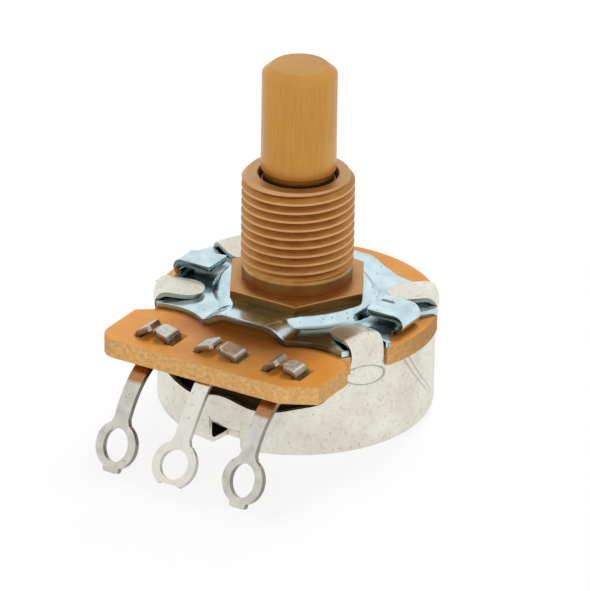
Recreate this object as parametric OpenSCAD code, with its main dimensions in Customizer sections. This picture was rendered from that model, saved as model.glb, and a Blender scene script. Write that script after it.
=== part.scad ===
// Rotary potentiometer with a solid round shaft, a threaded bushing, a crimped
// steel can and three solder lugs. Millimetres. The origin is on the shaft's
// axis at the panel seat, +Z runs along the shaft and the lugs point to -Y.

/* [Shaft] */
// Diameter of the shaft
shaft_d = 6.35; // [5.9:0.05:6.6]
// Height of the shaft's end above the panel seat
shaft_top = 19.35; // [14:0.05:40]
// Height of the chamfer at the shaft's end
shaft_chamfer_h = 0.7; // [0.2:0.05:1.2]
// Width of that chamfer, across the radius
shaft_chamfer_w = 0.8; // [0.2:0.05:1.5]
// Depth of the undercut where the shaft leaves the bushing
undercut_depth = 0.22; // [0.05:0.01:0.5]
// Length of that undercut above and below the bushing's mouth
undercut_reach = 0.5; // [0.2:0.05:1]
// Depth of the groove that holds the retaining ring
groove_depth = 0.6; // [0.3:0.05:0.9]
// Diameter of the flatted end that drives the rotor
tang_d = 4.8; // [4:0.05:5.4]
// Width across the tang's two flats
tang_flats = 3.9; // [3:0.05:4.2]
// Height of the riveted head that holds the rotor on the tang
rivet_h = 0.45; // [0.2:0.05:0.8]
// Diameter of that head
rivet_d = 5.8; // [5.5:0.05:7]

/* [Bushing] */
// Outer diameter of the bushing's thread
thread_d = 9.525; // [9:0.005:10.5]
// Height of the bushing above the panel seat
bushing_h = 9.525; // [6:0.005:13]
// Pitch of the thread's turns
thread_pitch = 0.79375; // [0.7:0.00125:1]
// Depth of the thread
thread_depth = 0.43; // [0.25:0.01:0.5]
// Width of the thread's crests
thread_crest = 0.1; // [0.05:0.01:0.15]
// Height of the plain land under the thread
thread_land = 1.45; // [0.8:0.05:2]
// Chamfer at the bushing's mouth
bushing_chamfer = 0.42; // [0.1:0.02:0.7]
// Radial clearance between the shaft and the bushing's bore
bore_gap = 0.04; // [0.02:0.01:0.09]
// Width of the countersink at the bushing's mouth
mouth_w = 0.22; // [0.1:0.01:0.4]
// Width across the flats of the hexagonal shoulder
hex_af = 11.11; // [10.6:0.01:13]
// Height of the hexagonal shoulder
hex_h = 0.85; // [0.5:0.05:1.5]
// Chamfer on the shoulder's upper corners
hex_chamfer = 0.14; // [0.05:0.01:0.25]
// Diameter of the spigot that passes through the plate
spigot_d = 8.4; // [7.6:0.05:9]
// Diameter of the spigot's end, riveted over under the plate
stake_d = 9.9; // [9.2:0.05:10.4]
// Height of that riveted end
stake_h = 0.45; // [0.3:0.05:0.6]

/* [Mounting plate] */
// Thickness of the plate's sheet
plate_t = 0.55; // [0.4:0.01:0.8]
// Height that the centre and the two bridges are raised above the ears
plate_raise = 0.9; // [0.75:0.01:1.2]
// Width of the raised centre round the bushing's hexagon
boss_margin = 0.2; // [0.1:0.05:0.6]
// Width of the slope round the raised centre
boss_slope = 0.7; // [0.3:0.05:1]
// How far the two bridges reach past the raised centre
bridge_l = 1.85; // [1.5:0.05:2.4]
// Width of each bridge at its top
bridge_top_w = 4.1; // [3.4:0.1:6]
// Width of each bridge at its foot
bridge_foot_w = 8.1; // [7:0.1:8.6]
// Radius of the four hollows in the plate's edge
hollow_r = 5; // [4:0.1:7]
// Distance from each bridge's foot to the middle of the hollow beside it
hollow_offset = 3.05; // [2.8:0.05:3.4]
// Depth of the hollows behind the bridges' ends
hollow_depth = 1; // [0.7:0.05:1.2]
// Gap between the ears' ends and the terminal board's rim
ear_inset = 0.1; // [0.05:0.05:0.3]
// Depth of the two recesses at the plate's sides, behind the board's rim
side_inset = 1.5; // [1.3:0.05:1.8]
// Room in each recess beside the folded lug
side_relief = 0.65; // [0.4:0.05:0.9]
// Lean of the recesses' side edges
side_lean = 1.9; // [1.5:0.05:2]
// Width of each folded locating lug
fold_w = 2.9; // [2:0.1:3.4]
// Distance from the board's rim back to the folded lugs' outer faces
fold_inset = 0.75; // [0.5:0.05:0.9]
// Length of each folded lug from its outer face to its free end
fold_l = 3.7; // [2.8:0.05:3.8]
// Gap under each folded lug
fold_gap = 0.7; // [0.4:0.05:0.8]
// Radius at the corners of the folded lugs' free ends
fold_corner = 0.35; // [0.1:0.05:0.8]

/* [Terminal board] */
// How far the terminal board's round part reaches past the can's wall
wafer_rim = 0.3; // [0.2:0.05:0.8]
// Thickness of the terminal board
wafer_t = 1.6; // [1:0.05:2.4]
// How far the board's front reaches past its round part
front_l = 3.15; // [2.9:0.05:5]
// Width of the board outside the outermost slots
front_margin = 1.85; // [1.4:0.05:2.6]
// Distance from the front's rear corners to the round part's foremost point
front_rear = 3.05; // [2.8:0.05:3.4]
// Size of the slanted edge behind each rear corner, along X and Y
rear_slant = [1.65, 1.2];
// Radius of the front's left corner
tab_corner_r = 1.1; // [0.4:0.1:2]
// Width of the cut at the front's right corner
tab_cut_w = 2.85; // [1:0.05:3.5]
// Depth of that cut
tab_cut_h = 1.55; // [0.5:0.05:3]
// Room round the bushing's riveted end in the board's hole
hole_margin = 0.45; // [0.2:0.05:0.6]

/* [Solder terminals] */
// Distance between two terminals
pitch = 6.2; // [5.9:0.05:6.6]
// Thickness of the terminals' sheet
lug_t = 0.5; // [0.3:0.01:0.6]
// Width of each terminal's stem
stem_w = 1.45; // [1:0.05:2]
// Outer diameter of each solder ring
ring_d = 4.1; // [3.9:0.05:4.8]
// Diameter of each solder ring's eye
eye_d = 2.7; // [2.2:0.05:3]
// Length of the cut-off nub at each ring's tip
nub_l = 0.3; // [0.1:0.05:0.6]
// Width of that nub
nub_w = 1.1; // [0.6:0.05:1.6]
// Distance from the board's front edge back to the start of the stems' bend
bend_inset = 0.78; // [0.3:0.01:1]
// Angle below the horizontal at which the stems leave the board
exit_angle = 44; // [35:1:50]
// Angle below the horizontal of the outer solder rings
outer_angle = 67; // [60:1:72]
// Angle below the horizontal of the middle solder ring
middle_angle = 57; // [50:1:62]
// Length of the outer stems' long curve
outer_curve_l = 4.6; // [3.5:0.05:5]
// Length of the middle stem's long curve
middle_curve_l = 4.9; // [3.5:0.05:5.5]
// Radius of the stems' first bend, at the middle of the sheet
exit_r = 1; // [0.6:0.05:1.5]
// Distance from the board's front edge back to the prongs
prong_inset = 1.85; // [1.6:0.05:2.2]
// Width of each prong
prong_w = 1.85; // [1.4:0.05:2.2]
// Distance from each terminal's middle to its slots' middles
slot_x = 2; // [1.7:0.05:2.3]
// Gap on each side of a prong in its slot
slot_gap = 0.12; // [0.05:0.01:0.2]
// Length of those slots
slot_l = 2.55; // [2.4:0.05:2.8]
// Bend of the outer terminals' prongs
outer_prong_bend = 64; // [50:1:75]
// Length of the outer terminals' prongs past the bend
outer_prong_l = 1.15; // [0.8:0.05:1.3]
// Bend of the middle terminal's prongs
middle_prong_bend = 76; // [60:1:80]
// Length of the middle terminal's prongs past the bend
middle_prong_l = 1.3; // [0.8:0.05:1.5]

/* [Resistance element] */
// Gap between the element and the can's wall
element_gap_r = 0.9; // [0.6:0.05:1.1]
// Width of the element
element_w = 3; // [2.6:0.05:3.1]
// Angle between the element's two ends
element_gap = 46; // [40:1:50]
// Gap between the element and the collector ring inside it
collector_gap = 0.65; // [0.5:0.05:0.7]
// Width of the collector ring
collector_w = 1.2; // [1:0.05:1.3]
// Width of the strip that joins the middle terminal to the ring
strip_w = 2; // [1.4:0.1:2.4]
// How far the outer terminals' fingers lie over the element's rim
finger_lap = 0.95; // [0.7:0.05:1]
// Width of those fingers
finger_w = 1.4; // [1:0.05:1.6]

/* [Can] */
// Outer diameter of the can
can_d = 23.4; // [23.2:0.05:23.6]
// Depth of the can below the terminal board
can_depth = 7.57; // [7.2:0.01:10]
// Thickness of the can's sheet
can_t = 0.5; // [0.35:0.01:0.6]
// Outer radius of the can's lower corner
can_corner = 0.9; // [0.7:0.05:1.4]
// Height of the wall left in front, below the lugs
front_wall = 4.12; // [3.6:0.02:4.6]
// Half angle of the front opening
front_angle = 48; // [44:1:49]
// Turn of the front opening about the axis
front_turn = -2; // [-2:0.5:2]
// Height of the crest in the middle of the front wall
crest_h = 0.75; // [0.2:0.05:0.9]
// Width of that crest
crest_w = 5; // [3:0.1:6]
// Height of the shoulders at the front wall's two ends
shoulder_h = 0.95; // [0.3:0.05:1.1]
// Width of the round that makes each shoulder
shoulder_w = 9; // [7:0.1:10]
// Width of the four holding tabs
tab_w = 3.35; // [2.6:0.05:3.6]
// Angle of the holding tabs from the X axis
tab_angle = 30; // [28:1:32]
// Radius at which the holding tabs end
tab_end = 8; // [7.9:0.05:9]
// Inner radius of the holding tabs' bend
tab_bend = 0.5; // [0.35:0.05:0.6]
// Height of the holding tabs' bend above the plate's ears
tab_lift = 0.35; // [0.1:0.05:0.5]
// How far the holding tabs' outer faces lie inside the can's outer radius
tab_set = 0.06; // [0.04:0.01:0.12]
// Height of the holding tabs' roots, where they leave the wall
tab_root_h = 0.3; // [0.2:0.05:0.6]
// Width of the rotation stop pressed into the can's corner
stop_w = 2.95; // [2:0.05:4]
// Height of the rotation stop on the wall
stop_h = 2.3; // [1.6:0.05:2.4]
// Depth of the rotation stop on the floor
stop_depth = 3.8; // [2.4:0.05:4]

/* [Rotor] */
// Full travel of the shaft
travel = 300; // [270:1:310]
// Gap between the rotor's disc and the can's wall
rotor_gap = 1.3; // [1:0.05:1.8]
// Thickness of the rotor's disc
rotor_t = 1.7; // [1.2:0.05:2]
// Distance from the can's floor to the rotor's disc
rotor_lift = 2.3; // [2:0.05:2.5]
// Diameter of the rotor's hub
hub_d = 8.4; // [7.5:0.1:8.8]
// Height of the hub above the disc
hub_h = 1.3; // [0.8:0.05:1.6]
// Gap between the stop block under the rotor and the can's wall
block_gap_r = 0.5; // [0.3:0.05:0.8]
// Width of that block along the radius
block_w = 3.1; // [2.4:0.1:4]
// Angle left between the block and the can's stop at each end of the travel
stop_gap = 0.2; // [0.1:0.1:2]
// Gap between the block and the can's floor
block_gap = 0.5; // [0.3:0.05:0.8]

/* [Wiper] */
// Thickness of the contact spring
spring_t = 0.25; // [0.15:0.01:0.3]
// Gap between the resting contacts and what they run on
contact_gap = 0.05; // [0.02:0.01:0.1]
// Radius of the contact tips
tip_r = 0.3; // [0.2:0.01:0.4]
// Length of the spring's arms along the floor
arm_l = 3.8; // [3:0.1:4.2]
// Width of each arm with its slit
arm_w = 1.2; // [0.9:0.05:1.3]
// Width of the slit between two fingers
slit_w = 0.25; // [0.15:0.01:0.3]
// Width of the spring's base round the rotor's hub
base_w = 1.8; // [1.2:0.1:2]
// Reach of the spring's base past the arms' roots
base_reach = 1.6; // [1.2:0.1:2]

/* [Retaining ring and thrust washer] */
// Thickness of the thrust washer
washer_t = 0.3; // [0.2:0.01:0.4]
// Outer diameter of the thrust washer
washer_d = 9.1; // [8.4:0.1:9.8]
// Thickness of the retaining ring
clip_t = 0.5; // [0.4:0.01:0.6]
// Outer diameter of the retaining ring
clip_d = 8.9; // [8.4:0.1:9.8]
// Play between the pieces stacked on the shaft
play = 0.05; // [0.02:0.01:0.1]

/* [Hidden] */
$fn = 96;
eps = 0.01;
brass = [0.76, 0.57, 0.27];
bushing_brass = [0.70, 0.50, 0.28];
zinc = [0.76, 0.84, 0.87];
tin = [0.84, 0.83, 0.78];
lug_tin = [0.78, 0.78, 0.74];
phenolic = [0.80, 0.53, 0.24];
carbon = [0.12, 0.11, 0.11];
moulding = [0.22, 0.15, 0.11];
bronze = [0.74, 0.52, 0.32];
steel = [0.58, 0.59, 0.60];

// Levels, from the panel seat down
hex_z = -hex_h;
ear_z = hex_z - plate_raise;
board_z = ear_z - plate_t;
under_z = board_z - wafer_t;
terminal_z = under_z - lug_t;
floor_z = under_z - can_depth;
inner_floor_z = floor_z + can_t;
boss_under_z = hex_z - plate_t;
stake_z = boss_under_z - stake_h;
washer_z = stake_z - play - washer_t;
clip_z = washer_z - play - clip_t;
rotor_z = inner_floor_z + rotor_lift;
disc_z = rotor_z + rotor_t;
hub_z = disc_z + hub_h;
block_z = inner_floor_z + block_gap;

// Radii that several pieces share
shaft_r = shaft_d / 2;
bore_r = shaft_r + bore_gap;
can_r = can_d / 2;
can_in_r = can_r - can_t;
wafer_r = can_r + wafer_rim;
wafer_hole_r = stake_d / 2 + hole_margin;
element_r_out = can_in_r - element_gap_r;
element_r_in = element_r_out - element_w;
collector_r_out = element_r_in - collector_gap;
collector_r_in = collector_r_out - collector_w;
finger_end_r = element_r_out - finger_lap;
rotor_r = can_in_r - rotor_gap;
block_r = can_in_r - block_gap_r;
block_r_in = block_r - block_w;
ring_r = ring_d / 2;

// The plate's outline
boss_r = hex_af / sqrt(3) + boss_margin;
plate_edge_y = boss_r + bridge_l;
hollow_x = bridge_foot_w / 2 + hollow_offset;
hollow_y = plate_edge_y - hollow_depth;
ear_r = wafer_r - ear_inset;
side_x = wafer_r - side_inset;
side_y = fold_w / 2 + side_relief;
fold_reach = wafer_r - fold_inset;
fold_end = fold_reach - fold_l;

// The board's front, its slots and what sits in them
tab_reach = wafer_r + front_l;
slot_w = lug_t + 2 * slot_gap;
tab_half_w = pitch + slot_x + slot_w / 2 + front_margin;
tab_rear_y = wafer_r - front_rear;
prong_front = tab_reach - prong_inset;
bend_y = tab_reach - bend_inset;

// The can's holding tabs and the plate's folded lugs
tab_slack = 0.12;
tab_out = can_r - tab_set;
tab_in = tab_out - can_t;
tab_angles = [-tab_angle, tab_angle, 180 - tab_angle, 180 + tab_angle];
hub_hole = tang_d / 2 + 0.02;
fold_out_r = (fold_gap + 2 * plate_t) / 2;
slot_front = prong_front + (slot_l - prong_w) / 6;

// Path of a stem: first bend, long curve and the flat that holds the ring
function along(a) = [-cos(a), -sin(a)];
function inward(a) = [sin(a), -cos(a)];
stem_z = terminal_z + lug_t / 2;
exit_centre = [-bend_y, stem_z - exit_r];
exit_point = exit_centre - exit_r * inward(exit_angle);
function curve_l(a) = a == middle_angle ? middle_curve_l : outer_curve_l;
function curve_r(a) = curve_l(a) / ((a - exit_angle) * PI / 180);
function curve_centre(a) = exit_point + curve_r(a) * inward(exit_angle);
function flat_point(a) = curve_centre(a) - curve_r(a) * inward(a);
neck_l = sqrt(ring_r * ring_r - stem_w * stem_w / 4) + 0.02;
function ring_centre(a) = flat_point(a) + neck_l * along(a);

// A wedge of the plane between two angles, as far out as r
module wedge(r, a0, a1) {
    steps = ceil((a1 - a0) / 30);
    polygon(concat([[0, 0]],
        [for (i = [0 : steps]) let (a = a0 + (a1 - a0) * i / steps)
            [r * cos(a), r * sin(a)] / cos(15)]));
}

// Part of a flat ring, with true arcs
module ring_sector(r_in, r_out, a0, a1) {
    intersection() {
        difference() {
            circle(r_out);
            circle(r_in);
        }
        wedge(r_out + 1, a0, a1);
    }
}

// An outline in the XZ plane, drawn as [x, z], made w wide and centred on y
module along_y(y, w) {
    translate([0, y + w / 2, 0]) rotate([90, 0, 0]) linear_extrude(w) children();
}

// An outline in the YZ plane, drawn as [y, z], made w wide and centred on x
module along_x(x, w) {
    translate([x - w / 2, 0, 0]) rotate([90, 0, 90]) linear_extrude(w) children();
}

// A flat outline lifted between two levels
module between(z0, z1) {
    translate([0, 0, z0]) linear_extrude(z1 - z0) children();
}

module shaft() {
    tang_z = hub_z;
    head_z = rotor_z - rivet_h;
    color(brass) difference() {
        union() {
            rotate_extrude() polygon([
                [0, tang_z], [shaft_r, tang_z],
                [shaft_r, clip_z - play], [shaft_r - groove_depth, clip_z - play],
                [shaft_r - groove_depth, clip_z + clip_t + play], [shaft_r, clip_z + clip_t + play],
                [shaft_r, bushing_h - undercut_reach], [shaft_r - undercut_depth, bushing_h - undercut_reach],
                [shaft_r - undercut_depth, bushing_h + undercut_reach], [shaft_r, bushing_h + undercut_reach],
                [shaft_r, shaft_top - shaft_chamfer_h], [shaft_r - shaft_chamfer_w, shaft_top],
                [0, shaft_top]]);
            between(rotor_z - eps, tang_z + eps) tang();
            between(head_z, rotor_z) circle(d = rivet_d);
        }
    }
}

// The shaft's flatted end, and with a gap the hole that it drives
module tang(gap = 0) {
    intersection() {
        circle(d = tang_d + 2 * gap);
        square([tang_d + 2, tang_flats + 2 * gap], center = true);
    }
}

module bushing() {
    thread_r = thread_d / 2;
    corner_r = hex_af / sqrt(3);
    color(bushing_brass) difference() {
        union() {
            rotate_extrude() polygon([
                [0, stake_z], [stake_d / 2, stake_z], [stake_d / 2, boss_under_z],
                [spigot_d / 2, boss_under_z], [spigot_d / 2, hex_z], [thread_r, hex_z],
                [thread_r, bushing_h - bushing_chamfer], [thread_r - bushing_chamfer, bushing_h],
                [0, bushing_h]]);
            intersection() {
                between(hex_z, 0) circle(corner_r, $fn = 6);
                rotate_extrude() polygon([
                    [0, hex_z], [corner_r + 1, hex_z], [corner_r + 1, -hex_chamfer - 1 / 2],
                    [corner_r, -hex_chamfer], [corner_r - 2 * hex_chamfer, 0], [0, 0]]);
            }
        }
        rotate_extrude() polygon([
            [0, stake_z - 1], [bore_r, stake_z - 1], [bore_r, bushing_h - mouth_w],
            [bore_r + mouth_w, bushing_h], [bore_r + mouth_w, bushing_h + 1], [0, bushing_h + 1]]);
        thread_grooves();
    }
}

// What is cut for the thread: one V groove for each turn, from the plain land up
module thread_grooves() {
    thread_r = thread_d / 2;
    groove_h = thread_pitch - thread_crest;
    turns = floor((bushing_h - thread_land) / thread_pitch);
    for (i = [0 : turns - 1]) translate([0, 0, thread_land + i * thread_pitch])
        rotate_extrude() polygon([
            [thread_r + 1, 0], [thread_r + 1, groove_h], [thread_r, groove_h],
            [thread_r - thread_depth, groove_h / 2], [thread_r, 0]]);
}

// Outline of the mounting plate seen from above
module plate_outline() {
    difference() {
        intersection() {
            circle(ear_r);
            square([2 * ear_r + 2, 2 * plate_edge_y], center = true);
        }
        for (sx = [-1, 1], sy = [-1, 1])
            translate([sx * hollow_x, sy * (hollow_y + hollow_r)]) circle(hollow_r);
        for (s = [0, 180]) rotate(s) polygon([
            [side_x, -side_y], [side_x + side_lean / 2, -side_y - side_lean],
            [ear_r + 1, -side_y - side_lean - 0.4], [ear_r + 1, side_y + side_lean + 0.4],
            [side_x + side_lean / 2, side_y + side_lean], [side_x, side_y]]);
        tab_slots();
    }
}

// Slots in the plate's ears and the board's rim for the can's holding tabs
module tab_slots() {
    for (a = tab_angles) rotate(a)
        translate([tab_in - tab_slack, -tab_w / 2 - tab_slack])
            square([can_t + 3, tab_w + 2 * tab_slack]);
}

// The plate's raised centre and bridges, with their tops at level z
module raised_form(z) {
    foot = z - plate_raise;
    translate([0, 0, foot]) cylinder(h = plate_raise, r1 = boss_r + boss_slope, r2 = boss_r);
    along_y(0, 2 * plate_edge_y + 2) polygon([
        [-bridge_foot_w / 2, foot], [bridge_foot_w / 2, foot],
        [bridge_top_w / 2, z], [-bridge_top_w / 2, z]]);
}

// One folded locating lug on the +X side: root, half turn and free end
module folded_lug() {
    centre_z = board_z + fold_out_r;
    turn_x = fold_reach - fold_out_r;
    top_z = board_z + 2 * fold_out_r;
    along_y(0, fold_w) {
        translate([side_x - 1, board_z]) square([turn_x - side_x + 1, plate_t]);
        translate([turn_x, centre_z]) ring_sector(fold_out_r - plate_t, fold_out_r, -90, 90);
    }
    between(top_z - plate_t, top_z) union() {
        translate([fold_end + fold_corner, -fold_w / 2])
            square([turn_x - fold_end - fold_corner, fold_w]);
        translate([fold_end, -fold_w / 2 + fold_corner])
            square([fold_corner, fold_w - 2 * fold_corner]);
        for (s = [-1, 1]) translate([fold_end + fold_corner, s * (fold_w / 2 - fold_corner)])
            circle(fold_corner);
    }
}

module mounting_plate() {
    color(zinc) {
        difference() {
            union() {
                between(board_z, ear_z) plate_outline();
                intersection() {
                    raised_form(hex_z);
                    between(board_z, hex_z + 1) plate_outline();
                }
            }
            translate([0, 0, -plate_t]) raised_form(hex_z);
            between(board_z - 1, hex_z + 1) circle(d = spigot_d);
        }
        for (s = [0, 180]) rotate(s) folded_lug();
    }
}

// Outline of the terminal board: a disc with a wide front
module board_outline() {
    difference() {
        union() {
            circle(wafer_r);
            polygon([
                [-tab_half_w + rear_slant[0], -tab_rear_y + rear_slant[1]], [-tab_half_w, -tab_rear_y],
                [-tab_half_w, -tab_reach + tab_corner_r], [-tab_half_w + tab_corner_r, -tab_reach],
                [tab_half_w - tab_cut_w, -tab_reach], [tab_half_w, -tab_reach + tab_cut_h],
                [tab_half_w, -tab_rear_y], [tab_half_w - rear_slant[0], -tab_rear_y + rear_slant[1]]]);
            translate([-tab_half_w + tab_corner_r, -tab_reach + tab_corner_r]) circle(tab_corner_r);
        }
        circle(wafer_hole_r);
        tab_slots();
        for (i = [-1 : 1], s = [-1, 1])
            translate([i * pitch + s * slot_x - slot_w / 2, -slot_front]) square([slot_w, slot_l]);
    }
}

module terminal_board() {
    color(phenolic) between(under_z, board_z) board_outline();
}

module resistance_element() {
    color(carbon) between(terminal_z, under_z)
        ring_sector(element_r_in, element_r_out, element_gap / 2 - 90, 270 - element_gap / 2);
}

// Points of an arc after its first one
function arc(centre, r, a0, a1, n = 8) =
    [for (i = [1 : n]) let (a = a0 + (a1 - a0) * i / n) centre + r * [cos(a), sin(a)]];

// Side view of a stem from the pad to the flat of its ring, drawn as [y, z]
module stem_side(a) {
    pad_y = -prong_front + prong_w;
    t = lug_t / 2;
    polygon(concat(
        [[pad_y, under_z], [-bend_y, under_z]],
        arc(exit_centre, exit_r + t, 90, 90 + exit_angle),
        arc(curve_centre(a), curve_r(a) + t, 90 + exit_angle, 90 + a),
        [curve_centre(a) - (curve_r(a) - t) * inward(a)],
        arc(curve_centre(a), curve_r(a) - t, 90 + a, 90 + exit_angle),
        arc(exit_centre, exit_r - t, 90 + exit_angle, 90),
        [[pad_y, terminal_z]]));
}

// Side view of one prong, drawn as [x, z]: upright through the board, then bent over
module prong_side(bend, length) {
    t = lug_t;
    x0 = slot_x - t / 2;
    translate([x0, terminal_z]) square([t, board_z - terminal_z + 0.05]);
    translate([x0, board_z + 0.05]) {
        ring_sector(0, t, 0, bend);
        rotate(bend) square([t, length]);
    }
}

// A terminal: pad, two prongs, stem and solder ring, with its middle at x = 0
module terminal(a, bend, length) {
    pad_w = 2 * slot_x + lug_t;
    between(terminal_z, under_z) translate([-pad_w / 2, -prong_front]) square([pad_w, prong_w]);
    for (s = [0, 1]) mirror([s, 0, 0]) along_y(-prong_front + prong_w / 2, prong_w)
        prong_side(bend, length);
    along_x(0, stem_w) stem_side(a);
    translate([0, flat_point(a)[0], flat_point(a)[1]]) rotate([a, 0, 0])
        translate([0, -neck_l, -lug_t / 2]) linear_extrude(lug_t) difference() {
            union() {
                circle(ring_r);
                translate([-stem_w / 2, 0]) square([stem_w, neck_l + 0.03]);
                translate([-nub_w / 2, -ring_r - nub_l]) square([nub_w, ring_r]);
            }
            circle(d = eye_d);
        }
}

// A finger from an outer terminal's pad, stepped down to lie under the element's rim
module finger() {
    step_y = -element_r_out + 0.2;
    x = slot_x - finger_w / 2 + lug_t / 2;
    end_y = -sqrt(finger_end_r * finger_end_r - pow(pitch - x - finger_w / 2, 2));
    along_x(x, finger_w) polygon([
        [-prong_front + prong_w - eps, under_z], [-prong_front + prong_w - eps, terminal_z],
        [step_y - 0.2, terminal_z], [step_y + 0.1, terminal_z - lug_t],
        [end_y, terminal_z - lug_t], [end_y, terminal_z],
        [step_y + 0.25, terminal_z], [step_y + 0.05, under_z]]);
}

module outer_terminal() {
    terminal(outer_angle, outer_prong_bend, outer_prong_l);
    finger();
}

module terminal_left() {
    color(lug_tin) translate([-pitch, 0, 0]) outer_terminal();
}

module terminal_right() {
    color(lug_tin) translate([pitch, 0, 0]) mirror([1, 0, 0]) outer_terminal();
}

module terminal_middle() {
    color(lug_tin) {
        terminal(middle_angle, middle_prong_bend, middle_prong_l);
        between(terminal_z, under_z) difference() {
            union() {
                circle(collector_r_out);
                translate([-strip_w / 2, -prong_front + prong_w / 2])
                    square([strip_w, prong_front - prong_w / 2 - collector_r_in]);
            }
            circle(collector_r_in);
        }
    }
}

// Section of a cup, drawn as [r, z], with its outer corner rounded
module cup_section(r, z0, z1, corner) {
    translate([0, z0 + corner]) square([r, z1 - z0 - corner]);
    translate([0, z0]) square([r - corner, corner + eps]);
    translate([r - corner, z0 + corner]) intersection() {
        circle(corner);
        translate([0, -corner]) square(corner + eps);
    }
}

// Side view of a holding tab, drawn as [u, z] along its own direction
module tab_side() {
    bend_x = tab_in - tab_bend;
    bend_z = ear_z + tab_lift - tab_bend;
    slope = atan((tab_lift - 0.02) / (bend_x - tab_end));
    translate([tab_in, under_z - tab_root_h]) square([can_t, bend_z - under_z + tab_root_h]);
    translate([bend_x, bend_z]) {
        ring_sector(tab_bend, tab_bend + can_t, 0, 90 + slope);
        rotate(slope) translate([-(bend_x - tab_end) / cos(slope), tab_bend])
            square([(bend_x - tab_end) / cos(slope), can_t]);
    }
}

// Plan of a holding tab: straight sides and a half-round end
module tab_plan() {
    r = tab_w / 2;
    translate([tab_end + r, 0]) circle(r);
    translate([tab_end + r, -r]) square([can_r, tab_w]);
}

module holding_tab() {
    intersection() {
        along_y(0, tab_w) tab_side();
        between(under_z - tab_root_h, 0) tab_plan();
    }
}

// What is cut from the wall in front: an opening whose edge has a crest and two shoulders
module front_opening() {
    rim_z = floor_z + front_wall;
    rotate(front_turn) difference() {
        between(rim_z, under_z + 1) wedge(can_r + 2, -90 - front_angle, -90 + front_angle);
        crest(0, rim_z, crest_h, crest_w);
        for (s = [-1, 1]) crest(s * front_angle, rim_z, shoulder_h, shoulder_w);
    }
}

// A rounded rise of the wall's edge, at an angle from the front
module crest(angle, z, h, w) {
    r = w * w / (8 * h) + h / 2;
    rotate([90, 0, angle]) translate([0, z + h - r, 0]) cylinder(h = can_r + 3, r = r);
}

// The rotation stop: the can's lower corner, pressed in between two cuts
module stop_ramp() {
    top = [-can_r, floor_z + stop_h];
    foot = [-can_r + stop_depth, floor_z];
    inset = can_t * [stop_h, stop_depth] / norm([stop_h, stop_depth]);
    intersection() {
        along_x(0, stop_w) polygon([
            top, foot, foot + [inset[0], 0], foot + inset, top + inset, top + [0, inset[1]]]);
        cylinder(h = 60, r = can_r, center = true);
    }
}

module can() {
    color(tin) {
        difference() {
            rotate_extrude() difference() {
                cup_section(can_r, floor_z, under_z, can_corner);
                cup_section(can_in_r, inner_floor_z, under_z + 1, can_corner - can_t);
            }
            front_opening();
            translate([-stop_w / 2, -can_r - 1, floor_z - 1])
                cube([stop_w, stop_depth + 1, stop_h + 1]);
        }
        for (a = tab_angles) rotate(a) holding_tab();
        stop_ramp();
    }
}

module rotor() {
    ramp_top = can_t * norm([stop_h, stop_depth]) / stop_depth;
    stop_r = can_r - stop_depth * (1 - (can_t + block_gap - ramp_top) / stop_h);
    stop_half = asin(stop_w / 2 / stop_r);
    block_half = (360 - travel) / 2 - stop_half - stop_gap;
    color(moulding) difference() {
        union() {
            between(rotor_z, disc_z) circle(rotor_r);
            between(disc_z - eps, hub_z) circle(d = hub_d);
            between(block_z, disc_z)
                ring_sector(block_r_in, block_r, 90 - block_half, 90 + block_half);
        }
        between(rotor_z - 1, hub_z + 1) tang(0.01);
    }
}

// One arm of the contact spring, rising towards -X from the base to a rounded tip
module spring_arm(y, w) {
    reach_z = terminal_z - contact_gap - tip_r;
    rise = reach_z - disc_z - spring_t;
    angle = atan(rise / arm_l);
    along_y(y, w) difference() {
        union() {
            translate([arm_l, disc_z + spring_t / 2]) rotate(180 - angle)
                translate([0, -spring_t]) square([arm_l / cos(angle), spring_t]);
            translate([0, reach_z]) circle(tip_r);
        }
        translate([-tip_r - 1, disc_z - 1]) square([arm_l + tip_r + 2, 1]);
    }
}

module contact_spring() {
    track_y = (element_r_in + finger_end_r) / 2 - arm_w / 12;
    ring_y = (collector_r_in + collector_r_out) / 2;
    color(bronze) {
        between(disc_z, disc_z + spring_t) difference() {
            union() {
                circle(hub_d / 2 + 0.05 + base_w);
                translate([arm_l - arm_w / 2, 0]) square([base_reach + arm_w / 2, track_y + arm_w / 2]);
            }
            circle(d = hub_d + 0.1);
        }
        for (y = [ring_y, track_y], s = [-1, 1])
            spring_arm(y + s * (arm_w + slit_w) / 4, (arm_w - slit_w) / 2);
    }
}

module retaining_ring() {
    color(steel) between(clip_z, clip_z + clip_t) difference() {
        circle(d = clip_d);
        circle(shaft_r - groove_depth + 0.05);
        translate([-shaft_r + groove_depth + 0.1, -clip_d])
            square([2 * (shaft_r - groove_depth - 0.1), clip_d]);
    }
}

module thrust_washer() {
    color(bronze) between(washer_z, washer_z + washer_t) difference() {
        circle(d = washer_d);
        circle(bore_r + 0.1);
    }
}

shaft();
bushing();
mounting_plate();
terminal_board();
resistance_element();
terminal_left();
terminal_middle();
terminal_right();
can();
rotor();
contact_spring();
retaining_ring();
thrust_washer();
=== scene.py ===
# %% [markdown]
# This lesson dresses a rotary potentiometer: a brass shaft in a threaded
# brass bushing, a zinc plated mounting plate, an amber terminal board with
# three tinned solder lugs, and a tin plated can crimped round it all.
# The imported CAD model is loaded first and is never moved, so that every new
# piece is made in metres at the place that the CAD gives it.

# %% Load the frame
import math

import bmesh
import bpy
import numpy as np
from mathutils import Matrix, Vector


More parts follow.
